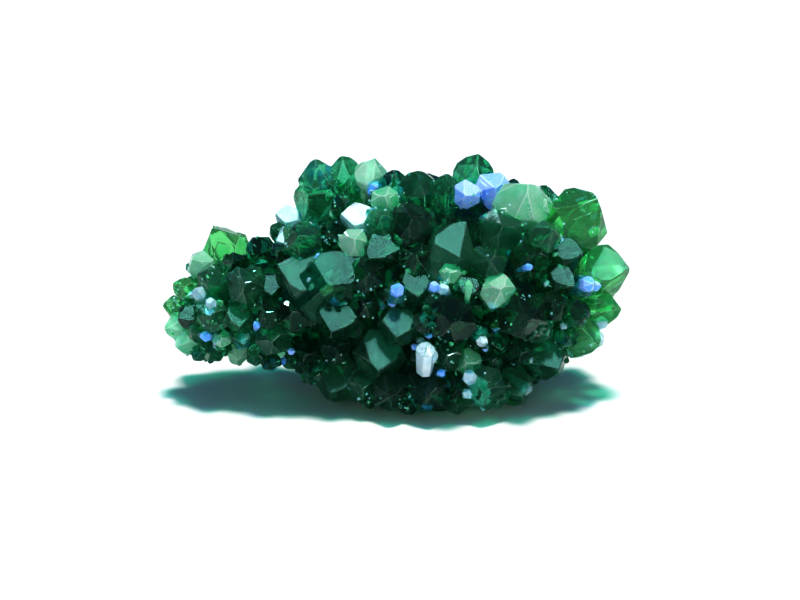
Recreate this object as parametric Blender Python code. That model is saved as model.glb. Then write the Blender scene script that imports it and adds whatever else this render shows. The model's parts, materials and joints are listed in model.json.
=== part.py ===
"""A rough cluster of green six-sided crystals, grown together in one piece and cut flat underneath.

World axes: +X to the right in the front view, +Y away from the viewer, +Z up, in metres.
The crystals of the front are placed one by one, by where their heads stand in the front view.
Those of the back, the top and the underside are scattered with a fixed seed.
"""

import math
from itertools import combinations

import bmesh
import bpy
import numpy as np

MM = 0.001

# The tilt of the front view that FRONT_CRYSTALS is written in: the viewer looks down by this much.
VIEW_TILT_DEG = 16.0

# The rounded masses that the crystals stand on: middle (x, y, z) and half sizes, in mm.
# The shoulders of the crystals lie on these surfaces.
MASSES = (
    ((9.0, 3.0, 27.0), (31.0, 22.0, 26.5)),
    ((26.0, 3.0, 29.0), (25.5, 20.0, 23.0)),
    ((-10.0, 3.0, 27.5), (19.0, 20.0, 22.5)),
    ((-27.0, 3.0, 24.0), (17.0, 17.0, 14.0)),
    ((-38.5, 3.0, 23.0), (13.5, 14.0, 11.5)),
    ((8.0, 3.0, 8.5), (28.0, 20.5, 17.0)),
)
# How far under the shoulders the grown-together mass itself ends, as a share of the half sizes.
MASS_SHARE = 0.84

# Habit of a crystal, as shares of its half width.
TIP_FACE_DEG = 38.2  # how far a face of the point leans back from upright, as in quartz
SMALL_FACE_SHARE = 1.18  # every second face of the point lies this much further out, so it is smaller
FLARE_DEG = 4.0  # the sides open outwards by this much
ROOT_LENGTH = 2.3
# The root of a crystal that stands beside the masses is longer by this many mm for each mass size between.
ROOT_BESIDE = 20.0
UNEVEN_SIDE = 0.13
UNEVEN_TIP = 0.10
# Corners of a crystal closer than this are one corner, in mm.
SAME_CORNER = 0.02
# Rows and columns of the coarse balls that the masses are made of.
BALL_ROWS = 6
BALL_COLUMNS = 9
# How far a head stands in front of or behind the masses' surface, as a share of its half width.
UNEVEN_DEPTH = 0.45
BROAD_FORWARD = 0.15

# The flat that the cluster was broken and sawn off at, and how deep the cutter reaches.
CUT_HEIGHT = 0.0
CUTTER_SIZE = 400.0

# Triangles that turn by less than this against each other are joined to one flat face.
FLAT_WITHIN_DEG = 0.3

SEED = 11

# The broad faces that all look the same way: the parts of their direction that point right and up in the
# front view.
BROAD_FACE_LEAN = (0.06, 0.45)

# Crystals of the front: across, up, half width, lean right, lean up, roll, broad face.
# Across and up are where the head of the crystal stands in the front view, in mm from the middle of the
# rest. The leans are the parts of its axis that point right and up in that view; the rest of the axis
# points at the viewer. The roll is in degrees. The last number is 0, or how far in the broad face lies, as
# a share of the half width. Such a crystal turns this face along BROAD_FACE_LEAN, and the face stands at
# the place given.
FRONT_CRYSTALS = (
    # The left lobe.
    (-41.2, 36.2, 5.8, -0.35, 0.70, 20, 0),
    (-46.4, 32.0, 3.3, -0.40, 0.35, 0, 0),
    (-31.7, 36.0, 3.4, 0.00, 0.60, 30, 0),
    (-37.4, 31.4, 3.3, -0.10, 0.30, 10, 0),
    (-43.2, 27.8, 3.7, -0.10, -0.30, 0, 0),
    (-34.8, 26.9, 4.5, 0.00, 0.10, 15, 0),
    (-28.8, 27.6, 3.3, 0.10, 0.20, 40, 0.74),
    (-44.6, 23.6, 3.0, -0.25, 0.10, 25, 0.74),
    (-50.4, 26.6, 2.5, -0.80, 0.30, 0, 0),
    (-52.6, 22.3, 2.7, -0.85, 0.10, 35, 0),
    (-48.7, 20.6, 2.9, -0.50, 0.00, 10, 0.74),
    (-42.7, 19.9, 3.4, -0.10, 0.00, 50, 0),
    (-36.5, 20.2, 3.3, 0.10, 0.10, 5, 0.74),
    (-51.8, 17.4, 3.1, -0.80, -0.15, 20, 0),
    (-46.8, 16.0, 2.3, -0.30, -0.10, 0, 0),
    (-49.8, 13.6, 3.0, -0.60, -0.40, 45, 0),
    (-47.0, 11.0, 2.2, -0.40, -0.60, 10, 0),
    (-43.2, 12.2, 3.2, -0.20, -0.30, 30, 0),
    (-40.8, 14.6, 2.2, 0.00, 0.00, 0, 0),
    (-37.5, 10.8, 2.5, 0.00, -0.50, 15, 0),
    (-35.5, 15.6, 2.8, 0.10, -0.10, 30, 0.74),
    (-33.0, 10.4, 2.4, 0.10, -0.50, 0, 0),
    # Between the left lobe and the main mass.
    (-29.8, 20.6, 4.0, 0.00, 0.10, 10, 0),
    (-28.4, 14.6, 3.8, 0.00, -0.10, 40, 0),
    (-29.4, 10.4, 2.8, -0.10, -0.40, 0, 0.74),
    (-24.6, 9.6, 2.6, 0.00, -0.50, 25, 0),
    (-23.4, 20.9, 4.4, 0.00, 0.10, 0, 0),
    (-26.9, 34.0, 3.4, -0.20, 0.30, 30, 0),
    (-27.4, 40.0, 2.6, -0.60, 0.40, 0, 0),
    (-25.4, 44.4, 3.0, -0.50, 0.40, 15, 0.74),
    (-25.2, 38.8, 2.9, -0.40, 0.20, 45, 0.74),
    # The top edge, left to right.
    (-18.0, 53.0, 4.3, -0.15, 0.80, 10, 0),
    (-18.6, 47.4, 5.4, -0.30, 0.20, 25, 0),
    (-11.8, 54.6, 3.4, -0.10, 0.80, 0, 0),
    (-5.6, 53.8, 3.8, 0.15, 0.80, 30, 0),
    (-9.6, 51.0, 3.5, 0.00, 0.45, 5, 0),
    (-4.4, 50.2, 2.2, 0.10, 0.20, 0, 0),
    (-0.4, 51.6, 3.3, 0.00, 0.80, 20, 0),
    (-1.9, 47.0, 3.2, 0.00, 0.20, 50, 0),
    (-9.0, 43.7, 3.6, -0.40, 0.40, 20, 0.74),
    (5.6, 50.4, 4.0, -0.05, 0.75, 0, 0),
    (11.8, 50.2, 3.5, 0.05, 0.75, 30, 0),
    (19.2, 53.4, 4.9, 0.20, 0.90, 0, 0),
    (17.0, 48.6, 2.9, 0.00, -0.10, 0, 0),
    (23.6, 49.8, 3.9, 0.10, 0.10, 35, 0),
    (30.4, 46.4, 6.1, 0.15, 0.60, 20, 0),
    (43.4, 43.2, 7.5, 0.50, 0.50, 55, 0),
    (50.4, 32.4, 6.2, 0.80, 0.15, 30, 0.80),
    # The face of the main mass, upper rows.
    (-21.4, 37.6, 4.2, -0.10, 0.20, 5, 0),
    (-20.6, 31.0, 6.9, -0.55, 0.50, 12, 0.70),
    (-12.4, 31.4, 6.0, 0.50, 0.60, 12, 0.72),
    (-9.4, 37.0, 3.4, 0.00, 0.20, 30, 0),
    (-2.8, 36.4, 4.8, -0.10, 0.25, 0, 0.74),
    (-3.0, 42.0, 3.6, 0.00, 0.30, 20, 0),
    (4.4, 40.8, 5.4, 0.00, 0.30, 10, 0),
    (13.6, 38.2, 5.9, 0.33, 0.80, 28, 0.98),
    (25.0, 39.6, 5.2, 0.10, 0.20, 0, 0),
    (22.4, 32.6, 4.2, 0.05, 0.10, 40, 0),
    (31.6, 33.4, 4.6, 0.15, 0.10, 15, 0),
    (35.4, 38.6, 3.6, 0.30, 0.30, 0, 0),
    (41.0, 35.6, 3.7, 0.45, 0.30, 30, 0.74),
    (39.6, 29.4, 3.6, 0.40, 0.10, 0, 0.74),
    (45.2, 27.0, 2.6, 0.60, 0.00, 20, 0),
    # Middle rows.
    (-6.2, 29.4, 4.2, 0.00, 0.15, 0, 0),
    (0.8, 25.2, 2.6, 0.00, 0.00, 30, 0),
    (5.3, 27.6, 3.8, 0.10, 0.15, 10, 0.74),
    (5.2, 33.4, 3.6, 0.00, 0.20, 45, 0),
    (10.2, 26.4, 1.9, 0.00, 0.10, 0, 0),
    (13.0, 29.8, 2.4, 0.05, 0.10, 20, 0),
    (17.2, 27.2, 3.0, 0.00, 0.05, 0, 0.74),
    (24.4, 25.9, 3.9, 0.10, 0.10, 35, 0),
    (30.0, 20.2, 5.7, 0.20, -0.10, 8, 0),
    (37.6, 22.6, 3.5, 0.40, 0.00, 25, 0),
    (43.6, 20.8, 2.8, 0.60, 0.00, 0, 0),
    (49.8, 21.8, 4.0, 0.85, -0.10, 40, 0),
    (-13.2, 20.4, 5.2, -0.05, 0.10, 0, 0.74),
    (-6.6, 22.4, 3.0, 0.00, 0.10, 20, 0),
    (1.2, 19.0, 4.6, 0.00, 0.10, 33, 0.74),
    (7.6, 18.6, 3.0, 0.10, 0.00, 0, 0),
    (13.2, 19.4, 5.6, 0.00, -0.10, 16, 0),
    (19.7, 15.4, 3.2, 0.00, 0.05, 30, 0),
    (24.7, 14.2, 2.5, 0.10, 0.00, 0, 0.74),
    (44.6, 14.9, 5.0, 0.70, -0.40, 22, 0),
    # Lower rows.
    (-20.0, 11.8, 4.9, -0.20, -0.20, 10, 0),
    (-13.4, 12.4, 3.4, -0.10, 0.00, 45, 0),
    (-19.8, 6.8, 3.3, -0.25, -0.30, 0, 0),
    (-2.6, 12.2, 5.8, 0.00, -0.10, 30, 0.74),
    (7.0, 11.0, 3.1, 0.20, 0.10, 0, 0.74),
    (12.4, 10.6, 3.4, 0.00, 0.00, 20, 0),
    (17.3, 8.9, 3.0, 0.00, 0.00, 0, 0),
    (22.8, 9.4, 2.7, 0.10, 0.00, 30, 0),
    (29.6, 11.8, 3.4, 0.20, -0.10, 0, 0),
    (36.3, 11.4, 5.0, 0.35, -0.30, 12, 0.74),
    (-13.4, 5.6, 4.8, -0.15, -0.15, 0, 0.74),
    (-7.2, 3.6, 3.6, 0.00, -0.15, 30, 0),
    (-1.0, 2.6, 4.6, 0.00, -0.20, 10, 0),
    (8.4, 3.2, 5.2, 0.00, -0.15, 40, 0),
    (-5.4, 0.8, 2.4, -0.10, -0.10, 0, 0),
    (3.4, -0.6, 2.6, 0.00, -0.10, 20, 0),
    (14.8, -0.6, 2.6, 0.05, -0.10, 10, 0),
    (24.8, 1.2, 2.4, 0.10, -0.15, 30, 0),
    (14.8, 3.4, 3.2, 0.00, -0.20, 0, 0),
    (21.1, 3.4, 5.3, 0.00, -0.20, 18, 0),
    (28.8, 4.2, 4.3, 0.30, -0.35, 0, 0.74),
    (33.2, 6.0, 2.8, 0.35, -0.45, 30, 0),
)

# Scattered crystals: how many places are tried, the least and most half width in mm, and how close two
# heads may stand, as a share of the sum of their half widths.
SCATTERED = (
    (1500, 4.8, 6.6, 0.86),
    (1500, 3.4, 4.8, 0.88),
    (550, 2.3, 3.3, 0.86),
)
SCATTER_LEAN = 0.28
# No scattered head stands deeper in the masses than this, as a share of their half sizes.
SCATTER_DEPTH = 0.88
# Scattered crystals stay this far above the cut, in mm.
SCATTER_FLOOR = 4.0
# Scattered crystals may show beside the masses in the front view by no more than this share of their size.
SCATTER_MARGIN = 0.07


def view_axes():
    """The right, up and towards-the-viewer directions of the front view."""
    tilt = math.radians(VIEW_TILT_DEG)
    right = np.array((1.0, 0.0, 0.0))
    up = np.array((0.0, math.sin(tilt), math.cos(tilt)))
    near = np.array((0.0, -math.cos(tilt), math.sin(tilt)))
    return right, up, near


def on_masses(across, up):
    """The point of the masses' surface that shows at this place of the front view.

    Beside the masses it is the point on the line of sight that passes nearest to them.
    """
    right_axis, up_axis, near = view_axes()
    start = across * right_axis + up * up_axis
    front = []
    beside = []
    for middle, half in MASSES:
        offset = (start - np.array(middle)) / np.array(half)
        step = near / np.array(half)
        a = step @ step
        b = offset @ step
        c = offset @ offset - 1.0
        nearest = -b / a
        if b * b >= a * c:
            front.append(nearest + math.sqrt(b * b - a * c) / a)
        else:
            beside.append((c - b * b / a, nearest))
    along = max(front) if front else min(beside)[1]
    return start + along * near


def depth_in(points, share):
    """Under 1 where a point lies inside one of the masses, with their half sizes shrunk to this share."""
    values = [
        np.linalg.norm((points - np.array(middle)) / (np.array(half) * share), axis=-1)
        for middle, half in MASSES
    ]
    return np.min(values, axis=0)


def solid_of_planes(normals, distances):
    """Corners and triangles, facing out, of the convex solid inside these planes.

    Every three planes meet in a point. The points inside all the planes are the corners, and those within
    SAME_CORNER of each other count as one.
    """
    triples = np.array(list(combinations(range(len(normals)), 3)))
    systems = normals[triples]
    solvable = np.abs(np.linalg.det(systems)) > 1e-6
    triples = triples[solvable]
    points = np.linalg.solve(systems[solvable], distances[triples][..., None])[..., 0]
    inside = (points @ normals.T <= distances + 1e-6).all(axis=1)
    points = points[inside]
    triples = triples[inside]
    near = np.linalg.norm(points[:, None] - points[None], axis=2) < SAME_CORNER
    kept, index = np.unique(near.argmax(axis=1), return_inverse=True)
    corners = points[kept]
    triangles = []
    for plane, normal in enumerate(normals):
        on_face = np.unique(index[(triples == plane).any(axis=1)])
        if len(on_face) < 3:
            continue
        side = np.cross(normal, (0.31, 0.52, 0.79))
        spread = corners[on_face] - corners[on_face].mean(axis=0)
        angle = np.arctan2(spread @ np.cross(normal, side), spread @ side)
        loop = on_face[np.argsort(angle)].tolist()
        triangles += [(loop[0], loop[i], loop[i + 1]) for i in range(1, len(loop) - 1)]
    return corners, triangles


def unit(vector):
    return vector / np.linalg.norm(vector)


def in_view(lean_right, lean_up):
    """The direction that leans right and up by these parts in the front view and else points at the viewer."""
    right, up, near = view_axes()
    towards = math.sqrt(max(0.0, 1.0 - lean_right**2 - lean_up**2))
    return unit(lean_right * right + lean_up * up + towards * near)


def crystal_frame(axis, roll_deg):
    """Two directions square to the axis and the axis itself; the first one is where face 0 looks."""
    start = np.array((0.0, 0.0, 1.0)) if abs(axis[2]) < 0.9 else np.array((1.0, 0.0, 0.0))
    side = unit(np.cross(axis, start))
    other = np.cross(axis, side)
    roll = math.radians(roll_deg)
    first = math.cos(roll) * side + math.sin(roll) * other
    return np.stack((first, np.cross(axis, first), axis))


def broad_face_frame(axis):
    """The frame of a crystal near this axis whose face 0 of the point looks along BROAD_FACE_LEAN."""
    facing = in_view(*BROAD_FACE_LEAN)
    lean = axis - (axis @ facing) * facing
    if np.linalg.norm(lean) < 0.05:
        lean = np.cross(facing, (1.0, 0.0, 0.0))
    lean = unit(lean)
    tip = math.radians(TIP_FACE_DEG)
    turned_axis = math.sin(tip) * facing + math.cos(tip) * lean
    first = math.cos(tip) * facing - math.sin(tip) * lean
    return np.stack((first, np.cross(turned_axis, first), turned_axis))


def crystal(head, frame, half_width, root, side_share, tip_share):
    """A six-sided crystal with a six-faced point, its shoulder at head and its root that far behind."""
    turn = np.arange(6) * math.pi / 3
    flat = np.stack((np.cos(turn), np.sin(turn), np.zeros(6)), axis=1)
    upright = np.array((0.0, 0.0, 1.0))
    flare = math.radians(FLARE_DEG)
    tip = math.radians(TIP_FACE_DEG)
    normals = np.concatenate(
        (
            flat * math.cos(flare) - upright * math.sin(flare),
            flat * math.cos(tip) + upright * math.sin(tip),
            -upright[None],
        )
    )
    distances = np.concatenate(
        (half_width * side_share, half_width * tip_share * math.cos(tip), (root,))
    )
    corners, faces = solid_of_planes(normals, distances)
    return corners @ frame + head, faces


def uneven_shares(rng, broad):
    """How far out the six sides and the six faces of the point lie, as shares of the half width."""
    sides = 1.0 + rng.uniform(-UNEVEN_SIDE, UNEVEN_SIDE, 6)
    tips = np.where(np.arange(6) % 2 == 0, 1.0, SMALL_FACE_SHARE)
    tips = tips + rng.uniform(-UNEVEN_TIP, UNEVEN_TIP, 6)
    if broad:
        tips[0] = broad
    return sides, tips


def front_crystals(rng):
    """Heads, frames, half widths, root lengths and shares of the crystals placed by hand."""
    tip = math.radians(TIP_FACE_DEG)
    placed = []
    for across, up, half_width, lean_right, lean_up, roll, broad in FRONT_CRYSTALS:
        head = on_masses(across, up)
        axis = in_view(lean_right, lean_up)
        sides, tips = uneven_shares(rng, broad)
        forward = rng.uniform(-UNEVEN_DEPTH, UNEVEN_DEPTH) * half_width
        if broad:
            forward = BROAD_FORWARD * half_width
        beside = max(0.0, depth_in(head, 1.0) - 1.0)
        if beside == 0.0:
            head = head + forward * view_axes()[2]
        if broad:
            frame = broad_face_frame(axis)
            foot = half_width * tips[0] * math.cos(tip) * np.array((math.cos(tip), 0.0, math.sin(tip)))
            head = head - foot @ frame
        else:
            frame = crystal_frame(axis, roll)
        root = ROOT_LENGTH * half_width + beside * ROOT_BESIDE
        placed.append((head, frame, half_width, root, sides, tips))
    return placed


def seen_beside_masses(point):
    """How far beside the masses a point lies in the front view, as a share of their size."""
    near = view_axes()[2]
    values = []
    for middle, half in MASSES:
        offset = (point - np.array(middle)) / np.array(half)
        step = near / np.array(half)
        values.append(math.sqrt(max(0.0, offset @ offset - (offset @ step) ** 2 / (step @ step))) - 1.0)
    return min(values)


def scattered_crystals(rng, placed):
    """Crystals on the rest of the masses, none crowding another or widening the front view."""
    heads = [entry[0] for entry in placed]
    widths = [entry[2] for entry in placed]
    found = []
    for tries, least, most, spacing in SCATTERED:
        for _ in range(tries):
            middle, half = MASSES[rng.integers(len(MASSES))]
            direction = unit(rng.normal(size=3))
            head = np.array(middle) + np.array(half) * direction
            half_width = rng.uniform(least, most)
            lean = rng.normal(size=3) * SCATTER_LEAN
            roll = rng.uniform(0.0, 60.0)
            sides, tips = uneven_shares(rng, 0)
            axis = unit(unit(direction / np.array(half)) + lean)
            head = head + rng.uniform(-UNEVEN_DEPTH, 0.0) * half_width * axis
            if depth_in(head, 1.0) < SCATTER_DEPTH or head[2] < CUT_HEIGHT + SCATTER_FLOOR:
                continue
            right, up, near = view_axes()
            reach = np.stack((axis, right, -right, up, -up)) * half_width
            if max(seen_beside_masses(head + step) for step in reach) > SCATTER_MARGIN:
                continue
            gaps = np.linalg.norm(np.array(heads) - head, axis=1)
            if (gaps < spacing * (np.array(widths) + half_width)).any():
                continue
            found.append((head, crystal_frame(axis, roll), half_width, ROOT_LENGTH * half_width, sides, tips))
            heads.append(head)
            widths.append(half_width)
    return found


def all_crystals():
    rng = np.random.default_rng(SEED)
    placed = front_crystals(rng)
    placed = placed + scattered_crystals(rng, placed)
    return [crystal(*entry) for entry in placed]


def add_mesh(name, corners, faces, collection):
    mesh = bpy.data.meshes.new(name)
    mesh.from_pydata((np.asarray(corners) * MM).tolist(), [], faces)
    mesh.validate()
    obj = bpy.data.objects.new(name, mesh)
    collection.objects.link(obj)
    return obj


def mass_mesh(middle, half):
    """Corners and faces of a coarse ball with these half sizes, times MASS_SHARE."""
    polar = np.linspace(0.0, math.pi, BALL_ROWS + 1)[1:-1]
    around = np.arange(BALL_COLUMNS) * 2 * math.pi / BALL_COLUMNS
    ring = np.stack(
        (
            np.outer(np.sin(polar), np.cos(around)),
            np.outer(np.sin(polar), np.sin(around)),
            np.outer(np.cos(polar), np.ones(BALL_COLUMNS)),
        ),
        axis=-1,
    ).reshape(-1, 3)
    corners = np.concatenate((ring, ((0.0, 0.0, 1.0), (0.0, 0.0, -1.0))))
    top = len(ring)
    bottom = top + 1
    last = (BALL_ROWS - 2) * BALL_COLUMNS
    faces = []
    for column in range(BALL_COLUMNS):
        after = (column + 1) % BALL_COLUMNS
        faces.append((column, after, top))
        faces.append((last + after, last + column, bottom))
        for upper in range(0, last, BALL_COLUMNS):
            lower = upper + BALL_COLUMNS
            faces.append((upper + column, lower + column, lower + after))
            faces.append((upper + column, lower + after, upper + after))
    return corners * np.array(half) * MASS_SHARE + np.array(middle), faces


def hide(obj):
    obj.hide_render = True
    obj.display_type = "WIRE"


def applied(obj):
    """Replaces an object's mesh by the result of its modifiers."""
    graph = bpy.context.evaluated_depsgraph_get()
    mesh = bpy.data.meshes.new_from_object(obj.evaluated_get(graph))
    obj.modifiers.clear()
    obj.data = mesh


def without_hollows(obj):
    """Keeps only the outermost of the closed surfaces, so the crystals are solid down to their roots."""
    shape = bmesh.new()
    shape.from_mesh(obj.data)
    waiting = set(shape.verts)
    surfaces = []
    while waiting:
        reached = [waiting.pop()]
        surface = []
        while reached:
            corner = reached.pop()
            surface.append(corner)
            beside = [edge.other_vert(corner) for edge in corner.link_edges]
            found = [other for other in beside if other in waiting]
            waiting.difference_update(found)
            reached += found
        surfaces.append(surface)
    surfaces.sort(key=lambda surface: max(corner.co.x for corner in surface))
    inner = [corner for surface in surfaces[:-1] for corner in surface]
    bmesh.ops.delete(shape, geom=inner, context="VERTS")
    shape.to_mesh(obj.data)
    shape.free()


def green_material():
    material = bpy.data.materials.new("green_crystal")
    material.use_nodes = True
    surface = material.node_tree.nodes["Principled BSDF"]
    surface.inputs["Base Color"].default_value = (0.02, 0.22, 0.10, 1.0)
    surface.inputs["Roughness"].default_value = 0.08
    surface.inputs["Metallic"].default_value = 0.0
    return material


def build():
    for obj in list(bpy.data.objects):
        bpy.data.objects.remove(obj, do_unlink=True)
    scene = bpy.context.scene.collection
    grown = bpy.data.collections.new("grown_crystals")
    scene.children.link(grown)
    for index, (corners, faces) in enumerate(all_crystals()):
        hide(add_mesh(f"crystal_{index:03d}", corners, faces, grown))
    for index, (middle, half) in enumerate(MASSES[1:]):
        hide(add_mesh(f"mass_{index}", *mass_mesh(middle, half), grown))
    cluster = add_mesh("crystal_cluster", *mass_mesh(*MASSES[0]), scene)

    union = cluster.modifiers.new("grown together", "BOOLEAN")
    union.operation = "UNION"
    union.solver = "EXACT"
    union.operand_type = "COLLECTION"
    union.collection = grown
    whole_faces = cluster.modifiers.new("whole faces", "DECIMATE")
    whole_faces.decimate_type = "DISSOLVE"
    whole_faces.angle_limit = math.radians(FLAT_WITHIN_DEG)
    applied(cluster)
    without_hollows(cluster)

    corners = np.array([(x, y, z) for x in (-1, 1) for y in (-1, 1) for z in (-1, 1)]) * CUTTER_SIZE / 2
    corners[:, 2] += CUT_HEIGHT - CUTTER_SIZE / 2
    faces = [(0, 1, 3, 2), (4, 6, 7, 5), (0, 4, 5, 1), (2, 3, 7, 6), (0, 2, 6, 4), (1, 5, 7, 3)]
    cutter = add_mesh("base_cutter", corners, faces, scene)
    hide(cutter)
    cut = cluster.modifiers.new("flat base", "BOOLEAN")
    cut.operation = "DIFFERENCE"
    cut.solver = "EXACT"
    cut.object = cutter
    applied(cluster)
    cluster.data.materials.clear()
    cluster.data.materials.append(green_material())
    return cluster


if __name__ == "__main__":
    build()
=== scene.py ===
"""The dressed model of the green crystal cluster: clear, pale, white and blue crystals grown together, some
of the white ones painted reflection.

World axes: +X to the right in the front view, +Y away from the viewer, +Z up, in metres. Sizes of the
crystals are in mm. Each kind of crystal is one piece with its own see-through material.
"""

import json
import math
from itertools import combinations

import bpy
import numpy as np
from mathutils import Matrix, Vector

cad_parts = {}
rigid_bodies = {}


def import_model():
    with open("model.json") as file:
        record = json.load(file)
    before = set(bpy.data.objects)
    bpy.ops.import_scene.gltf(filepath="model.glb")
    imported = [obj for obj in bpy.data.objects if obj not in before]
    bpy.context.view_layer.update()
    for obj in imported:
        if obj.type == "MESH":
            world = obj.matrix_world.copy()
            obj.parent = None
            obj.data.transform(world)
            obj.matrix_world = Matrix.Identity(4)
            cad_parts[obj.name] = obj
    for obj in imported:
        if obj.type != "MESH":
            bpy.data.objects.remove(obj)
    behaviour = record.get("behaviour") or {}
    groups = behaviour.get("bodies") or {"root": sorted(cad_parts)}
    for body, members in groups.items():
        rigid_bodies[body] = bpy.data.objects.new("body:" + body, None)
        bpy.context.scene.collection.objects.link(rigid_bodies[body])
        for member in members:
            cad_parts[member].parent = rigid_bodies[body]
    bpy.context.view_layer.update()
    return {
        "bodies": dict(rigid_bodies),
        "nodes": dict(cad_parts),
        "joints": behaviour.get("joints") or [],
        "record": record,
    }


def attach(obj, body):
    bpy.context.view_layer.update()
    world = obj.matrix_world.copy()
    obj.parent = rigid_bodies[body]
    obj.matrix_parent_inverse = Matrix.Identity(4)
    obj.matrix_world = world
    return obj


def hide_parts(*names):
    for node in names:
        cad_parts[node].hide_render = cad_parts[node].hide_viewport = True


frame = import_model()

MM = 0.001

# The tilt of the front view that FRONT_CRYSTALS is written in: the viewer looks down by this much.
VIEW_TILT_DEG = 16.0

# The rounded masses that the crystals stand on: middle (x, y, z) and half sizes, in mm.
# The shoulders of the crystals lie on these surfaces.
MASSES = (
    ((9.0, 3.0, 27.0), (31.0, 22.0, 26.5)),
    ((26.0, 3.0, 29.0), (25.5, 20.0, 23.0)),
    ((-10.0, 3.0, 27.5), (19.0, 20.0, 22.5)),
    ((-27.0, 3.0, 24.0), (17.0, 17.0, 14.0)),
    ((-38.5, 3.0, 23.0), (13.5, 14.0, 11.5)),
    ((8.0, 3.0, 8.5), (28.0, 20.5, 17.0)),
)
# How far under the shoulders the grown-together mass itself ends, as a share of the half sizes.
MASS_SHARE = 0.84

# Habit of a crystal, as shares of its half width.
TIP_FACE_DEG = 38.2  # how far a face of the point leans back from upright, as in quartz
SMALL_FACE_SHARE = 1.18  # every second face of the point lies this much further out, so it is smaller
FLARE_DEG = 4.0  # the sides open outwards by this much
ROOT_LENGTH = 2.3
# The root of a crystal that stands beside the masses is longer by this many mm for each mass size between.
ROOT_BESIDE = 20.0
UNEVEN_SIDE = 0.13
UNEVEN_TIP = 0.10
# Corners of a crystal closer than this are one corner, in mm.
SAME_CORNER = 0.02
# A point counts as inside a plane, and three planes as meeting in a point, within this.
TOLERANCE = 1e-6
# A direction that no face of a crystal is square to.
SLANT = (0.31, 0.52, 0.79)
# A six-sided crystal looks alike after this turn.
ALIKE_AFTER_DEG = 60.0
# Rows and columns of the coarse balls that the masses are made of.
BALL_ROWS = 6
BALL_COLUMNS = 9
# How far a head stands in front of or behind the masses' surface, as a share of its half width.
UNEVEN_DEPTH = 0.45
BROAD_FORWARD = 0.15

# The flat that the cluster was broken and sawn off at, and how deep the cutter reaches.
CUT_HEIGHT = 0.0
CUTTER_SIZE = 400.0

SEED = 11

# The broad faces that all look the same way: the parts of their direction that point right and up in the
# front view.
BROAD_FACE_LEAN = (0.06, 0.45)

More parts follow.
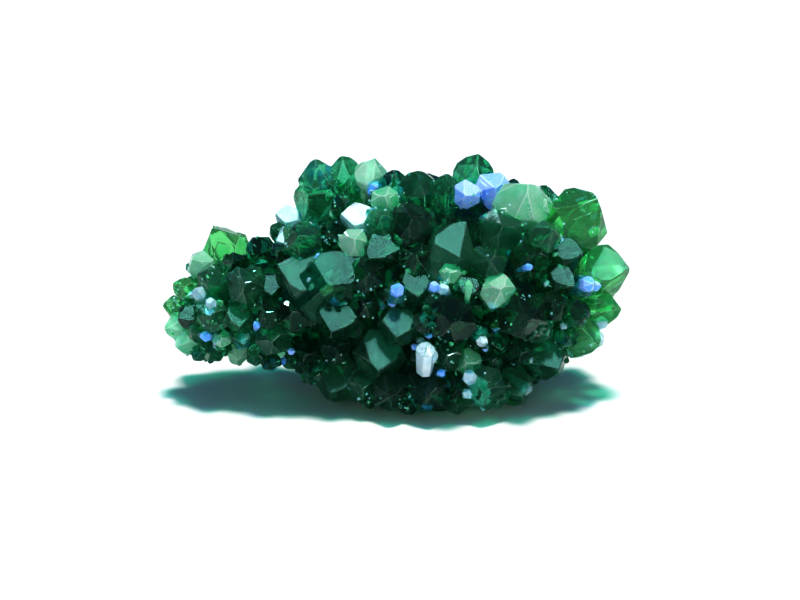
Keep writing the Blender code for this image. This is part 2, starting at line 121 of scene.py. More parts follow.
# Crystals of the front: across, up, half width, lean right, lean up, roll, broad face, and kind as in KINDS.
# Across and up are where the head of the crystal stands in the front view, in mm from the middle of the
# rest. The leans are the parts of its axis that point right and up in that view; the rest of the axis
# points at the viewer. The roll is in degrees. The seventh is 0, or how far in the broad face lies, as
# a share of the half width. Such a crystal turns this face along BROAD_FACE_LEAN, and the face stands at
# the place given.
FRONT_CRYSTALS = (
    # The left lobe.
    (-41.2, 36.2, 5.8, -0.35, 0.70, 20, 0, "b"),
    (-46.4, 32.0, 3.3, -0.40, 0.35, 0, 0, "p"),
    (-31.7, 36.0, 3.4, 0.00, 0.60, 30, 0, "g"),
    (-37.4, 31.4, 3.3, -0.10, 0.30, 10, 0, "g"),
    (-43.2, 27.8, 3.7, -0.10, -0.30, 0, 0, "m"),
    (-34.8, 26.9, 4.5, 0.00, 0.10, 15, 0, "g"),
    (-28.8, 27.6, 3.3, 0.10, 0.20, 40, 0.74, "g"),
    (-44.6, 23.6, 3.0, -0.25, 0.10, 25, 0.74, "m"),
    (-50.4, 26.6, 2.5, -0.80, 0.30, 0, 0, "b"),
    (-52.6, 22.3, 2.7, -0.85, 0.10, 35, 0, "b"),
    (-48.7, 20.6, 2.9, -0.50, 0.00, 10, 0.74, "g"),
    (-42.7, 19.9, 3.4, -0.10, 0.00, 50, 0, "g"),
    (-36.5, 20.2, 3.3, 0.10, 0.10, 5, 0.74, "g"),
    (-51.8, 17.4, 3.1, -0.80, -0.15, 20, 0, "p"),
    (-46.8, 16.0, 2.3, -0.30, -0.10, 0, 0, "g"),
    (-49.8, 13.6, 3.0, -0.60, -0.40, 45, 0, "p"),
    (-47.0, 11.0, 2.2, -0.40, -0.60, 10, 0, "g"),
    (-43.2, 12.2, 3.2, -0.20, -0.30, 30, 0, "m"),
    (-40.8, 14.6, 2.2, 0.00, 0.00, 0, 0, "p"),
    (-37.5, 10.8, 2.5, 0.00, -0.50, 15, 0, "p"),
    (-35.5, 15.6, 2.8, 0.10, -0.10, 30, 0.74, "g"),
    (-33.0, 10.4, 2.4, 0.10, -0.50, 0, 0, "g"),
    # Between the left lobe and the main mass.
    (-29.8, 20.6, 4.0, 0.00, 0.10, 10, 0, "g"),
    (-28.4, 14.6, 3.8, 0.00, -0.10, 40, 0, "g"),
    (-29.4, 10.4, 2.8, -0.10, -0.40, 0, 0.74, "g"),
    (-24.6, 9.6, 2.6, 0.00, -0.50, 25, 0, "g"),
    (-23.4, 20.9, 4.4, 0.00, 0.10, 0, 0, "g"),
    (-26.9, 34.0, 3.4, -0.20, 0.30, 30, 0, "g"),
    (-27.4, 40.0, 2.6, -0.60, 0.40, 0, 0, "g"),
    # These two white crystals are painted reflection: white where a facet mirrors the light.
    (-25.4, 44.4, 3.0, -0.50, 0.40, 15, 0.74, "w"),
    (-25.2, 38.8, 2.9, -0.40, 0.20, 45, 0.74, "w"),
    # The top edge, left to right.
    (-18.0, 53.0, 4.3, -0.15, 0.80, 10, 0, "g"),
    (-18.6, 47.4, 5.4, -0.30, 0.20, 25, 0, "g"),
    (-11.8, 54.6, 3.4, -0.10, 0.80, 0, 0, "m"),
    (-5.6, 53.8, 3.8, 0.15, 0.80, 30, 0, "p"),
    (-9.6, 51.0, 3.5, 0.00, 0.45, 5, 0, "g"),
    (-4.4, 50.2, 2.2, 0.10, 0.20, 0, 0, "s"),
    (-0.4, 51.6, 3.3, 0.00, 0.80, 20, 0, "g"),
    (-1.9, 47.0, 3.2, 0.00, 0.20, 50, 0, "p"),
    (-9.0, 43.7, 3.6, -0.40, 0.40, 20, 0.74, "w"),
    (5.6, 50.4, 4.0, -0.05, 0.75, 0, 0, "m"),
    (11.8, 50.2, 3.5, 0.05, 0.75, 30, 0, "g"),
    (19.2, 53.4, 4.9, 0.20, 0.90, 0, 0, "m"),
    (17.0, 48.6, 2.9, 0.00, -0.10, 0, 0, "s"),
    (23.6, 49.8, 3.9, 0.10, 0.10, 35, 0, "s"),
    (30.4, 46.4, 6.1, 0.15, 0.60, 20, 0, "p"),
    (43.4, 43.2, 7.5, 0.50, 0.50, 55, 0, "b"),
    (50.4, 32.4, 6.2, 0.80, 0.15, 30, 0.80, "b"),
    # The face of the main mass, upper rows.
    (-21.4, 37.6, 4.2, -0.10, 0.20, 5, 0, "g"),
    (-20.6, 31.0, 6.9, -0.55, 0.50, 12, 0.70, "g"),
    (-12.4, 31.4, 6.0, 0.50, 0.60, 12, 0.72, "g"),
    (-9.4, 37.0, 3.4, 0.00, 0.20, 30, 0, "p"),
    (-2.8, 36.4, 4.8, -0.10, 0.25, 0, 0.74, "g"),
    (-3.0, 42.0, 3.6, 0.00, 0.30, 20, 0, "g"),
    (4.4, 40.8, 5.4, 0.00, 0.30, 10, 0, "g"),
    (13.6, 38.2, 5.9, 0.33, 0.80, 28, 0.98, "g"),
    (25.0, 39.6, 5.2, 0.10, 0.20, 0, 0, "g"),
    (22.4, 32.6, 4.2, 0.05, 0.10, 40, 0, "g"),
    (31.6, 33.4, 4.6, 0.15, 0.10, 15, 0, "g"),
    (35.4, 38.6, 3.6, 0.30, 0.30, 0, 0, "g"),
    (41.0, 35.6, 3.7, 0.45, 0.30, 30, 0.74, "g"),
    (39.6, 29.4, 3.6, 0.40, 0.10, 0, 0.74, "g"),
    (45.2, 27.0, 2.6, 0.60, 0.00, 20, 0, "m"),
    # Middle rows.
    (-6.2, 29.4, 4.2, 0.00, 0.15, 0, 0, "g"),
    (0.8, 25.2, 2.6, 0.00, 0.00, 30, 0, "m"),
    (5.3, 27.6, 3.8, 0.10, 0.15, 10, 0.74, "g"),
    (5.2, 33.4, 3.6, 0.00, 0.20, 45, 0, "g"),
    (10.2, 26.4, 1.9, 0.00, 0.10, 0, 0, "m"),
    (13.0, 29.8, 2.4, 0.05, 0.10, 20, 0, "p"),
    (17.2, 27.2, 3.0, 0.00, 0.05, 0, 0.74, "g"),
    (24.4, 25.9, 3.9, 0.10, 0.10, 35, 0, "p"),
    (30.0, 20.2, 5.7, 0.20, -0.10, 8, 0, "g"),
    (37.6, 22.6, 3.5, 0.40, 0.00, 25, 0, "g"),
    (43.6, 20.8, 2.8, 0.60, 0.00, 0, 0, "g"),
    (49.8, 21.8, 4.0, 0.85, -0.10, 40, 0, "b"),
    (-13.2, 20.4, 5.2, -0.05, 0.10, 0, 0.74, "g"),
    (-6.6, 22.4, 3.0, 0.00, 0.10, 20, 0, "g"),
    (1.2, 19.0, 4.6, 0.00, 0.10, 33, 0.74, "g"),
    (7.6, 18.6, 3.0, 0.10, 0.00, 0, 0, "g"),
    (13.2, 19.4, 5.6, 0.00, -0.10, 16, 0, "g"),
    (19.7, 15.4, 3.2, 0.00, 0.05, 30, 0, "g"),
    (24.7, 14.2, 2.5, 0.10, 0.00, 0, 0.74, "g"),
    (44.6, 14.9, 5.0, 0.70, -0.40, 22, 0, "b"),
    # Lower rows.
    (-20.0, 11.8, 4.9, -0.20, -0.20, 10, 0, "g"),
    (-13.4, 12.4, 3.4, -0.10, 0.00, 45, 0, "g"),
    (-19.8, 6.8, 3.3, -0.25, -0.30, 0, 0, "g"),
    (-2.6, 12.2, 5.8, 0.00, -0.10, 30, 0.74, "g"),
    (7.0, 11.0, 3.1, 0.20, 0.10, 0, 0.74, "g"),
    (12.4, 10.6, 3.4, 0.00, 0.00, 20, 0, "g"),
    (17.3, 8.9, 3.0, 0.00, 0.00, 0, 0, "p"),
    (22.8, 9.4, 2.7, 0.10, 0.00, 30, 0, "g"),
    (29.6, 11.8, 3.4, 0.20, -0.10, 0, 0, "g"),
    (36.3, 11.4, 5.0, 0.35, -0.30, 12, 0.74, "g"),
    (-13.4, 5.6, 4.8, -0.15, -0.15, 0, 0.74, "g"),
    (-7.2, 3.6, 3.6, 0.00, -0.15, 30, 0, "g"),
    (-1.0, 2.6, 4.6, 0.00, -0.20, 10, 0, "g"),
    (8.4, 3.2, 5.2, 0.00, -0.15, 40, 0, "g"),
    (-5.4, 0.8, 2.4, -0.10, -0.10, 0, 0, "g"),
    (3.4, -0.6, 2.6, 0.00, -0.10, 20, 0, "g"),
    (14.8, -0.6, 2.6, 0.05, -0.10, 10, 0, "g"),
    (24.8, 1.2, 2.4, 0.10, -0.15, 30, 0, "g"),
    (14.8, 3.4, 3.2, 0.00, -0.20, 0, 0, "g"),
    (21.1, 3.4, 5.3, 0.00, -0.20, 18, 0, "m"),
    (28.8, 4.2, 4.3, 0.30, -0.35, 0, 0.74, "g"),
    (33.2, 6.0, 2.8, 0.35, -0.45, 30, 0, "g"),
)

# Scattered crystals: how many places are tried, the least and most half width in mm, and how close two
# heads may stand, as a share of the sum of their half widths.
SCATTERED = (
    (1500, 4.8, 6.6, 0.86),
    (1500, 3.4, 4.8, 0.88),
    (550, 2.3, 3.3, 0.86),
)
SCATTER_LEAN = 0.28
# No scattered head stands deeper in the masses than this, as a share of their half sizes.
SCATTER_DEPTH = 0.88
# Scattered crystals stay this far above the cut, in mm.
SCATTER_FLOOR = 4.0
# Scattered crystals may show beside the masses in the front view by no more than this share of their size.
SCATTER_MARGIN = 0.07

# What the letters at the end of the crystal table stand for.
KINDS = {
    "g": "dark_crystals",
    "m": "cloudy_crystals",
    # The bright kind stands at the rims: its yellow-green is its colour, and its paler, less deep green is
    # also painted light, the glow of thin backlit crystals.
    "b": "bright_crystals",
    "p": "pale_crystals",
    # White crystals: partly their own white, partly painted reflection where they stand for facets that flash
    # white.
    "w": "white_crystals_and_painted_reflections",
    "s": "blue_crystals",
}

# Width that a worn edge is flattened to, in mm, and the half width of the narrowest crystal that has them.
EDGE_WIDTH = 0.30
WORN_FROM = 1.5
# Two faces have no edge between them where the sum of their normals is shorter than this.
FOLDED_BACK = 0.2
# Thin plates that grew on the faces: on crystals from which half width, how many at most, how high, and how
# far they keep back from the edges, as a share of the half width.
PLATES_FROM = 2.4
MOST_PLATES = 2
STEP_HEIGHT = (0.05, 0.20)
STEP_INSET = (0.10, 0.55)
# Small crystals that grew beside a large one, the same way round: on crystals from which half width, how many
# at most, their size, how far out and how far up they stand, all as shares of the large one's.
SIDE_CRYSTALS_FROM = 3.2
MOST_SIDE_CRYSTALS = 2
SIDE_CRYSTAL_SHARE = (0.28, 0.46)
SIDE_CRYSTAL_OUT = 0.86
SIDE_CRYSTAL_UP = (-0.9, 0.15)
# The middle of the clear dark crystals, in view, how far they reach, and how soon cloudy ones take over. A
# crystal's own pick between the two is the fraction of its place times PLACE_PICK.
DARK_MIDDLE = (12.0, 26.0)
DARK_REACH = (62.0, 34.0)
CLOUDY_SHARE = 0.75
PLACE_PICK = (7.31, 3.17)

# The very small crystals in the joints: how many, their half widths, kinds, and how low they may stand. They
# stand this far out from the large crystal's axis and below its head and lean out by this, as shares of its
# half width, and their root is this many of their own half widths long.
FINE_COUNT = 900
FINE_HALF_WIDTH = (0.40, 1.05)
# The small crystals' kinds; the many pale and white ones add sparkle in the joints, which is painted glint.
FINE_KINDS = "gggmmmmppbws"
FINE_FLOOR = 3.0
FINE_OUT = (0.88, 1.15)
FINE_BELOW = (0.15, 0.95)
FINE_LEAN = (0.2, 0.9)
FINE_ROOT = 2.5
# Grains that grew on the faces: how many are tried, their half widths, kinds, which ways from the middle of a
# crystal they lie in more often, how deep they sit in its face, and the length of their root.
GRAIN_COUNT = 5600
GRAIN_HALF_WIDTH = (0.13, 0.34)
GRAIN_KINDS = "ppwwwb"
GRAIN_SPREAD = (1.0, 1.0, 0.6)
GRAIN_RISE = (0.0, 0.0, 0.3)
GRAIN_FACING = 0.05
GRAIN_DEPTH = 0.05
GRAIN_ROOT = 1.5
# They stand in patches: the patches' size in mm, where the waves that give them start, how far single grains
# stray from them, and the level above which a place has grains.
GRAIN_PATCH = 9.0
GRAIN_PHASES = (0.0, 1.9, 4.1)
GRAIN_STRAY = 0.3
GRAIN_SHARE = 0.40
# Small crystals of the front that stand out of larger ones: across, up, half width, lean right, lean up,
# how far in front of the masses the head stands, and kind.
SMALL_FRONT = (
    (0.8, 26.2, 1.4, 0.1, 0.3, 3.2, "s"),
    (9.4, 26.8, 1.1, 0.2, 0.1, 2.6, "s"),
    (11.4, 26.2, 1.2, -0.2, 0.2, 2.4, "w"),
    (45.6, 27.4, 1.7, 0.6, 0.1, 2.0, "s"),
    (47.6, 27.0, 1.2, 0.8, 0.0, 1.6, "s"),
    (-44.6, 15.2, 1.2, -0.2, 0.0, 2.4, "s"),
    (-32.0, 18.0, 0.9, 0.1, 0.2, 3.0, "s"),
    (-24.2, 11.6, 0.8, 0.0, 0.0, 3.2, "s"),
    (11.0, 6.6, 1.0, 0.1, 0.3, 3.4, "s"),
    (8.0, -0.8, 0.9, 0.0, 0.0, 3.6, "s"),
    (31.4, 31.4, 0.8, 0.3, 0.1, 3.4, "s"),
    # These two white crystals are painted highlight: white where a facet flashes white.
    (7.4, 12.0, 2.2, 0.05, 0.80, 4.8, "w"),
    (9.0, 11.0, 1.3, 0.40, 0.60, 4.2, "w"),
    (-46.0, 25.4, 1.6, -0.2, 0.3, 2.6, "w"),
    (-43.0, 23.0, 1.3, 0.0, 0.0, 2.6, "w"),
    (20.6, 14.0, 1.2, 0.1, -0.3, 3.6, "w"),
    (31.6, 2.6, 1.3, 0.5, -0.2, 3.4, "w"),
    (49.4, 18.6, 1.9, 0.7, 0.0, 2.4, "w"),
    (48.4, 14.4, 2.0, 0.6, -0.1, 3.4, "w"),
    (17.4, 27.6, 0.9, 0.1, 0.8, 3.4, "p"),
    (17.4, 6.0, 1.5, -0.5, 0.5, 4.6, "w"),
    (17.0, 1.8, 1.2, -0.6, 0.1, 4.4, "w"),
)
SMALL_ROOT = 6.5

# A crystal has this many planes before its edges are worn. The last is its root. Worn edges have this tone.
CRYSTAL_PLANES = 13
ROOT_PLANE = 12
EDGE_TONE = 2.0
# A broad face of the point, the first of its planes, is clean and has this tone.
BROAD_PLANE = 6
BROAD_SHARES = {row[6] for row in FRONT_CRYSTALS if row[6]}
BROAD_TONE = 0.999
JUST_UNDER_BROAD = 0.995

# How strongly the crystals bend light, and the colour of what their faces mirror.
CRYSTAL_IOR = 1.46
GLOSS_TINT = (0.36, 0.90, 0.82)
# How strongly dots, veils and worn edges shine, and how softly.
FLAW_IOR = 1.75
FLAW_ROUGHNESS = 0.28
# Patterns of the skin, per metre: at 1000 they repeat about every mm.
PATCH_SCALE = 150.0
MOTTLE_SCALE = 330.0
VEIL_SCALE = 420.0
DOT_SCALE = 1000.0
GRIT_SCALE = 1500.0
LINE_SCALE = 2200.0
# How dull a dull face, a cloudy patch and a broad face are, how far the grit changes that, and how soon a
# patch is cloudy all through.
DULL_FACE = 0.7
DULL_CLOUD = 0.6
DULL_BROAD = 0.3
GRIT_SHARE = 0.2
CLOUD_BAND = 0.16
# Where a dot, a veil and a worn stretch of an edge fade, and how strongly each one shines.
DOT_RANGE = (0.14, 0.26)
VEIL_RANGE = (0.006, 0.022)
WORN_RANGE = (0.37, 0.58)
DOT_SHINE = 0.8
VEIL_SHINE = 0.65
EDGE_SHINE = 0.8
# What a crystal's shade is made of: mottling and its own shade, which are colour, and each face's, painted
# shade.
MOTTLE_RANGE = (0.36, 0.64)
MOTTLE_SHARE = 0.30
FACE_SHARE = 0.40
CRYSTAL_SHARE = 0.30
# How far growth lines wander with the patches, how much the grit stands out, and the depth of it all.
LINE_WANDER = 0.002
GRIT_HEIGHT = 0.02
BUMP_STRENGTH = 0.25
BUMP_DEPTH = 0.0001

# What the camera shows: the width of the frame, its middle across, up and towards the viewer, and how far
# away the viewer stands.
FRAME_WIDTH_MM = 192.0
FRAME_MIDDLE = (1.44, 23.76, 4.4)
CAMERA_DISTANCE = 0.72

# The photograph's contrast: under 1 the dark tones fall while white stays.
PICTURE_GAMMA = 0.64
# How often light may pass or be turned on its way.
CLEAR_BOUNCES = 22
GLOSSY_BOUNCES = 8
DIFFUSE_BOUNCES = 6
SHADOW_CROSSINGS = 32
CAUSTIC_BLUR = 0.3

# The light: name, where it comes from, its width in degrees, strength and colour, and whether it is only
# mirrored. The first casts the shadow, the next two light the front and the right, and the faces mirror the
# others. The fill is the soft light from all around.
LAMPS = (
    ("top_light", (0.06, -0.10, 0.99), 10.0, 4.10, (1.0, 0.94, 0.875), False),
    ("front_light", (-0.25, -0.96, 0.05), 50.0, 2.00, (1.0, 0.98, 0.97), False),
    ("right_light", (0.92, -0.38, 0.10), 30.0, 1.30, (1.0, 1.0, 0.92), False),
    ("gloss_light", (0.10, -0.35, 0.93), 26.0, 1.55, (1.0, 0.96, 1.0), True),
    ("edge_light", (-0.45, 0.60, 0.66), 9.0, 1.9, (0.80, 0.92, 1.0), True),
    ("side_light", (0.85, -0.30, 0.42), 12.0, 1.7, (0.90, 0.96, 1.0), True),
)
FILL_COLOUR = (0.20, 0.60, 1.0)
FILL_STRENGTH = 0.32
# The floor: how pale it is, and half its width in m.
FLOOR_TONE = 0.75
FLOOR_HALF = 4.0


def view_axes():
    """The right, up and towards-the-viewer directions of the front view."""
    tilt = math.radians(VIEW_TILT_DEG)
    right = np.array((1.0, 0.0, 0.0))
    up = np.array((0.0, math.sin(tilt), math.cos(tilt)))
    near = np.array((0.0, -math.cos(tilt), math.sin(tilt)))
    return right, up, near


def on_masses(across, up):
    """The point of the masses' surface that shows at this place of the front view.

    Beside the masses it is the point on the line of sight that passes nearest to them.
    """
    right_axis, up_axis, near = view_axes()
    start = across * right_axis + up * up_axis
    front = []
    beside = []
    for middle, half in MASSES:
        offset = (start - np.array(middle)) / np.array(half)
        step = near / np.array(half)
        a = step @ step
        b = offset @ step
        c = offset @ offset - 1.0
        nearest = -b / a
        if b * b >= a * c:
            front.append(nearest + math.sqrt(b * b - a * c) / a)
        else:
            beside.append((c - b * b / a, nearest))
    along = max(front) if front else min(beside)[1]
    return start + along * near


def depth_in(points, share):
    """Under 1 where a point lies inside one of the masses, with their half sizes shrunk to this share."""
    values = [
        np.linalg.norm((points - np.array(middle)) / (np.array(half) * share), axis=-1)
        for middle, half in MASSES
    ]
    return np.min(values, axis=0)


def unit(vector):
    """The vector divided by its length."""
    return vector / np.linalg.norm(vector)


def in_view(lean_right, lean_up):
    """The direction that leans right and up by these parts in the front view and else faces the viewer."""
    right, up, near = view_axes()
    towards = math.sqrt(max(0.0, 1.0 - lean_right**2 - lean_up**2))
    return unit(lean_right * right + lean_up * up + towards * near)


def crystal_frame(axis, roll_deg):
    """Two directions square to the axis and the axis itself; the first one is where face 0 looks."""
    start = np.array((0.0, 0.0, 1.0)) if abs(axis[2]) < 0.9 else np.array((1.0, 0.0, 0.0))
    side = unit(np.cross(axis, start))
    other = np.cross(axis, side)
    roll = math.radians(roll_deg)
    first = math.cos(roll) * side + math.sin(roll) * other
    return np.stack((first, np.cross(axis, first), axis))


def broad_face_frame(axis):
    """The frame of a crystal near this axis whose face 0 of the point looks along BROAD_FACE_LEAN."""
    facing = in_view(*BROAD_FACE_LEAN)
    lean = axis - (axis @ facing) * facing
    if np.linalg.norm(lean) < 0.05:
        lean = np.cross(facing, (1.0, 0.0, 0.0))
    lean = unit(lean)
    tip = math.radians(TIP_FACE_DEG)
    turned_axis = math.sin(tip) * facing + math.cos(tip) * lean
    first = math.cos(tip) * facing - math.sin(tip) * lean
    return np.stack((first, np.cross(turned_axis, first), turned_axis))


def uneven_shares(rng, broad):
    """How far out the six sides and the six faces of the point lie, as shares of the half width."""
    sides = 1.0 + rng.uniform(-UNEVEN_SIDE, UNEVEN_SIDE, 6)
    tips = np.where(np.arange(6) % 2 == 0, 1.0, SMALL_FACE_SHARE)
    tips = tips + rng.uniform(-UNEVEN_TIP, UNEVEN_TIP, 6)
    if broad:
        tips[0] = broad
    return sides, tips


def front_crystals(rng):
    """Heads, frames, half widths, root lengths and shares of the crystals placed one by one."""
    tip = math.radians(TIP_FACE_DEG)
    placed = []
    for across, up, half_width, lean_right, lean_up, roll, broad, _kind in FRONT_CRYSTALS:
        head = on_masses(across, up)
        axis = in_view(lean_right, lean_up)
        sides, tips = uneven_shares(rng, broad)
        forward = rng.uniform(-UNEVEN_DEPTH, UNEVEN_DEPTH) * half_width
        if broad:
            forward = BROAD_FORWARD * half_width
        beside = max(0.0, depth_in(head, 1.0) - 1.0)
        if beside == 0.0:
            head = head + forward * view_axes()[2]
        if broad:
            frame = broad_face_frame(axis)
            foot = half_width * tips[0] * math.cos(tip) * np.array((math.cos(tip), 0.0, math.sin(tip)))
            head = head - foot @ frame
        else:
            frame = crystal_frame(axis, roll)
        root = ROOT_LENGTH * half_width + beside * ROOT_BESIDE
        placed.append((head, frame, half_width, root, sides, tips))
    return placed


def seen_beside_masses(point):
    """How far beside the masses a point lies in the front view, as a share of their size."""
    near = view_axes()[2]
    values = []
    for middle, half in MASSES:
        offset = (point - np.array(middle)) / np.array(half)
        step = near / np.array(half)
        values.append(math.sqrt(max(0.0, offset @ offset - (offset @ step) ** 2 / (step @ step))) - 1.0)
    return min(values)


def scattered_crystals(rng, placed):
    """Crystals on the rest of the masses, none crowding another or widening the front view."""
    heads = [entry[0] for entry in placed]
    widths = [entry[2] for entry in placed]
    found = []
    for tries, least, most, spacing in SCATTERED:
        for _ in range(tries):
            middle, half = MASSES[rng.integers(len(MASSES))]
            direction = unit(rng.normal(size=3))
            head = np.array(middle) + np.array(half) * direction
            half_width = rng.uniform(least, most)
            lean = rng.normal(size=3) * SCATTER_LEAN
            roll = rng.uniform(0.0, ALIKE_AFTER_DEG)
            sides, tips = uneven_shares(rng, 0)
            axis = unit(unit(direction / np.array(half)) + lean)
            head = head + rng.uniform(-UNEVEN_DEPTH, 0.0) * half_width * axis
            if depth_in(head, 1.0) < SCATTER_DEPTH or head[2] < CUT_HEIGHT + SCATTER_FLOOR:
                continue
            right, up, near = view_axes()
            reach = np.stack((axis, right, -right, up, -up)) * half_width
            if max(seen_beside_masses(head + step) for step in reach) > SCATTER_MARGIN:
                continue
            gaps = np.linalg.norm(np.array(heads) - head, axis=1)
            if (gaps < spacing * (np.array(widths) + half_width)).any():
                continue
            root = ROOT_LENGTH * half_width
            found.append((head, crystal_frame(axis, roll), half_width, root, sides, tips))
            heads.append(head)
            widths.append(half_width)
    return found


def planes_meeting(normals, distances):
    """Corners of the solid inside the planes, and which planes meet in each.

    Every three planes meet in a point. The points inside all the planes are the corners, and those within
    SAME_CORNER of each other count as one.
    """
    triples = np.array(list(combinations(range(len(normals)), 3)))
    systems = normals[triples]
    solvable = np.abs(np.linalg.det(systems)) > TOLERANCE
    triples = triples[solvable]
    points = np.linalg.solve(systems[solvable], distances[triples][..., None])[..., 0]
    inside = (points @ normals.T <= distances + TOLERANCE).all(axis=1)
    points = points[inside]
    triples = triples[inside]
    near = np.linalg.norm(points[:, None] - points[None], axis=2) < SAME_CORNER
    kept, index = np.unique(near.argmax(axis=1), return_inverse=True)
    meets = np.zeros((len(kept), len(normals)), bool)
    for column in range(3):
        meets[index, triples[:, column]] = True
    return points[kept], meets


def solid_of_planes(normals, distances):
    """Corners and triangles of the convex solid inside these planes, and each triangle's plane.

    The corners on a plane are sorted by their angle around its normal, so the triangles face out.
    """
    corners, meets = planes_meeting(normals, distances)
    triangles = []
    planes = []
    for plane, normal in enumerate(normals):
        on_face = np.flatnonzero(meets[:, plane])
        if len(on_face) < 3:
            continue
        side = np.cross(normal, SLANT)
        spread = corners[on_face] - corners[on_face].mean(axis=0)
        angle = np.arctan2(spread @ np.cross(normal, side), spread @ side)
        loop = on_face[np.argsort(angle)].tolist()
        triangles += [(loop[0], loop[i], loop[i + 1]) for i in range(1, len(loop) - 1)]
        planes += [plane] * (len(loop) - 2)
    return corners, triangles, planes


def with_worn_edges(normals, distances, width):
    """The same planes, and one more across each edge, far enough under it to be this wide.

    Two faces whose normals stand at an angle A leave a strip of this width where the cut lies
    width / 2 * tan(A / 2) under the edge. The sum of the two normals is 2 * cos(A / 2) long.
    """
    corners, meets = planes_meeting(normals, distances)
    counts = meets.T.astype(int) @ meets.astype(int)
    first, second = np.nonzero(np.triu(counts, 1) >= 2)
    across = normals[first] + normals[second]
    length = np.linalg.norm(across, axis=1)
    usable = length > FOLDED_BACK
    length = length[usable]
    across = across[usable] / length[:, None]
    reach = (corners @ across.T).max(axis=0)
    depth = width / 2 * np.sqrt(4.0 / length**2 - 1.0)
    return np.concatenate((normals, across)), np.concatenate((distances, reach - depth))


def crystal_planes(half_width, root, side_share, tip_share):
    """Planes of a six-sided crystal along +Z: its six sides, the six faces of its point, and its root.

    The sides' normals lean down by FLARE_DEG, and those of the point lean up by TIP_FACE_DEG.
    """
    turn = np.arange(6) * math.pi / 3
    flat = np.stack((np.cos(turn), np.sin(turn), np.zeros(6)), axis=1)
    upright = np.array((0.0, 0.0, 1.0))
    flare = math.radians(FLARE_DEG)
    tip = math.radians(TIP_FACE_DEG)
    normals = np.concatenate(
        (
            flat * math.cos(flare) - upright * math.sin(flare),
            flat * math.cos(tip) + upright * math.sin(tip),
            -upright[None],
        )
    )
    distances = np.concatenate((half_width * side_share, half_width * tip_share * math.cos(tip), (root,)))
    return normals, distances


def mass_mesh(middle, half):
    """Corners and faces of a coarse ball with these half sizes, times MASS_SHARE."""
    polar = np.linspace(0.0, math.pi, BALL_ROWS + 1)[1:-1]
    around = np.arange(BALL_COLUMNS) * 2 * math.pi / BALL_COLUMNS
    ring = np.stack(
        (
            np.outer(np.sin(polar), np.cos(around)),
            np.outer(np.sin(polar), np.sin(around)),
            np.outer(np.cos(polar), np.ones(BALL_COLUMNS)),
        ),
        axis=-1,
    ).reshape(-1, 3)
    corners = np.concatenate((ring, ((0.0, 0.0, 1.0), (0.0, 0.0, -1.0))))
    top = len(ring)
    bottom = top + 1
    last = (BALL_ROWS - 2) * BALL_COLUMNS
    faces = []
    for column in range(BALL_COLUMNS):
        after = (column + 1) % BALL_COLUMNS
        faces.append((column, after, top))
        faces.append((last + after, last + column, bottom))
        for upper in range(0, last, BALL_COLUMNS):
            lower = upper + BALL_COLUMNS
            faces.append((upper + column, lower + column, lower + after))
            faces.append((upper + column, lower + after, upper + after))
    return corners * np.array(half) * MASS_SHARE + np.array(middle), faces


def entries():
    """Every crystal of the cluster, in the order of the table and then as scattered, with its kind."""
    rng = np.random.default_rng(SEED)
    placed = front_crystals(rng)
    found = scattered_crystals(rng, placed)
    kinds = [row[-1] for row in FRONT_CRYSTALS] + ["g"] * len(found)
    all_placed = [(*entry, cloudy_outside(entry[0], kind)) for entry, kind in zip(placed + found, kinds)]
    return all_placed + fine_crystals(all_placed) + grains(all_placed) + small_front_crystals()


def small_front_crystals():
    """The small blue and white crystals of SMALL_FRONT, standing out of the ones behind them."""
    rng = np.random.default_rng(SEED + 3)
    near = view_axes()[2]
    small = []
    for across, up, half_width, lean_right, lean_up, forward, kind in SMALL_FRONT:
        head = on_masses(across, up) + forward * near
        frame_axes = crystal_frame(in_view(lean_right, lean_up), rng.uniform(0.0, ALIKE_AFTER_DEG))
        sides, tips = uneven_shares(rng, 0.0)
        small.append((head, frame_axes, half_width, SMALL_ROOT, sides, tips, kind))
    return small


def cloudy_outside(head, kind):
    """The dark crystals are cloudy rather than clear more often the further out they stand."""
    right, upward, _near = view_axes()
    across = head @ right
    up = head @ upward
    out = math.hypot((across - DARK_MIDDLE[0]) / DARK_REACH[0], (up - DARK_MIDDLE[1]) / DARK_REACH[1])
    pick = math.modf(abs(across * PLACE_PICK[0] + up * PLACE_PICK[1]))[0]
    return "m" if kind == "g" and pick < out * CLOUDY_SHARE else kind


def fine_crystals(placed):
    """Very small crystals in the joints: each stands somewhere around a larger one, leaning out."""
    rng = np.random.default_rng(SEED + 2)
    fine = []
    for _ in range(FINE_COUNT):
        head, axes, half_width = placed[rng.integers(len(placed))][:3]
        around = rng.uniform(0.0, 2.0 * math.pi)
        out = math.cos(around) * axes[0] + math.sin(around) * axes[1]
        middle = head + (out * rng.uniform(*FINE_OUT) - axes[2] * rng.uniform(*FINE_BELOW)) * half_width
        axis = unit(axes[2] + out * rng.uniform(*FINE_LEAN))
        lean = crystal_frame(axis, rng.uniform(0.0, ALIKE_AFTER_DEG))
        small = rng.uniform(*FINE_HALF_WIDTH)
        sides, tips = uneven_shares(rng, 0.0)
        kind = FINE_KINDS[rng.integers(len(FINE_KINDS))]
        if middle[2] > FINE_FLOOR:
            fine.append((middle, lean, small, small * FINE_ROOT, sides, tips, kind))
    return fine


